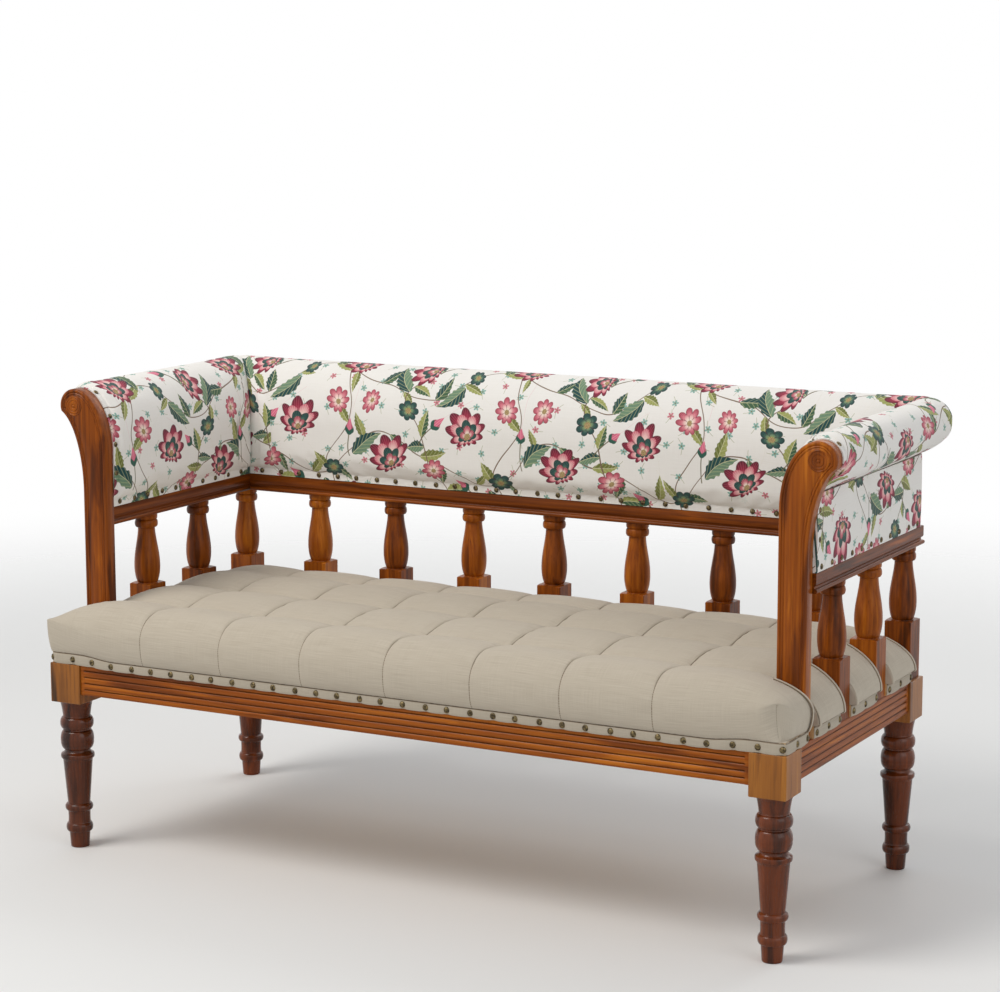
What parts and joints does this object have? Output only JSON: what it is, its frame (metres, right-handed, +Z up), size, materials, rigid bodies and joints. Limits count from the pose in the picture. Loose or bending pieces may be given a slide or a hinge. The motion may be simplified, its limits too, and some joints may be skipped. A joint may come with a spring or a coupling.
{
  "type": "upholstered bench",
  "caption": "Long upholstered bench with a tufted seat, turned legs, and a rolled padded back and arms carried on rows of turned balusters.",
  "frame": {"origin": "on the floor, at the middle of the bench's outline seen from above", "axes": "+X along the length to the sitter's left, +Y towards the back, +Z up"},
  "size_m": [1.5134, 0.6837, 0.836],
  "materials": {
    "leg_wood": "semi-gloss lacquer",
    "honey_wood": "semi-gloss lacquer",
    "frame_timber": "sawn, unfinished",
    "plywood": "unfinished",
    "linen": "matt slub weave",
    "floral_cotton": "printed cotton",
    "antique_brass": "aged"
  },
  "bodies": {
    "root": {"leg_front_left": "leg_wood", "leg_front_right": "leg_wood", "leg_back_left": "leg_wood", "leg_back_right": "leg_wood", "seat_rail_front": "honey_wood", "seat_rail_back": "honey_wood", "seat_rail_left": "honey_wood", "seat_rail_right": "honey_wood", "mid_rail_back": "honey_wood", "mid_rail_left": "honey_wood", "mid_rail_right": "honey_wood", "arm_post_left": "honey_wood", "arm_post_right": "honey_wood", "baluster_back_1": "honey_wood", "baluster_back_2": "honey_wood", "baluster_back_3": "honey_wood", "baluster_back_4": "honey_wood", "baluster_back_5": "honey_wood", "baluster_back_6": "honey_wood", "baluster_back_7": "honey_wood", "baluster_corner_left": "honey_wood", "baluster_corner_right": "honey_wood", "baluster_left_1": "honey_wood", "baluster_left_2": "honey_wood", "baluster_right_1": "honey_wood", "baluster_right_2": "honey_wood", "back_frame": "frame_timber", "arm_frame_left": "frame_timber", "arm_frame_right": "frame_timber", "corner_brace_front_left": "frame_timber", "corner_brace_front_right": "frame_timber", "corner_brace_back_left": "frame_timber", "corner_brace_back_right": "frame_timber", "seat_bearer": "frame_timber", "seat_board": "plywood", "seat_cushion": "linen", "seat_band_front": "linen", "seat_band_left_1": "linen", "seat_band_left_2": "linen", "seat_band_left_3": "linen", "seat_band_right_1": "linen", "seat_band_right_2": "linen", "seat_band_right_3": "linen", "seat_band_back_1": "linen", "seat_band_back_2": "linen", "seat_band_back_3": "linen", "seat_band_back_4": "linen", "seat_band_back_5": "linen", "seat_band_back_6": "linen", "seat_band_back_7": "linen", "seat_band_back_8": "linen", "back_pad": "floral_cotton", "arm_pad_left": "floral_cotton", "arm_pad_right": "floral_cotton", "back_panel": "floral_cotton", "arm_panel_left": "floral_cotton", "arm_panel_right": "floral_cotton"}
  },
  "joints": []
}
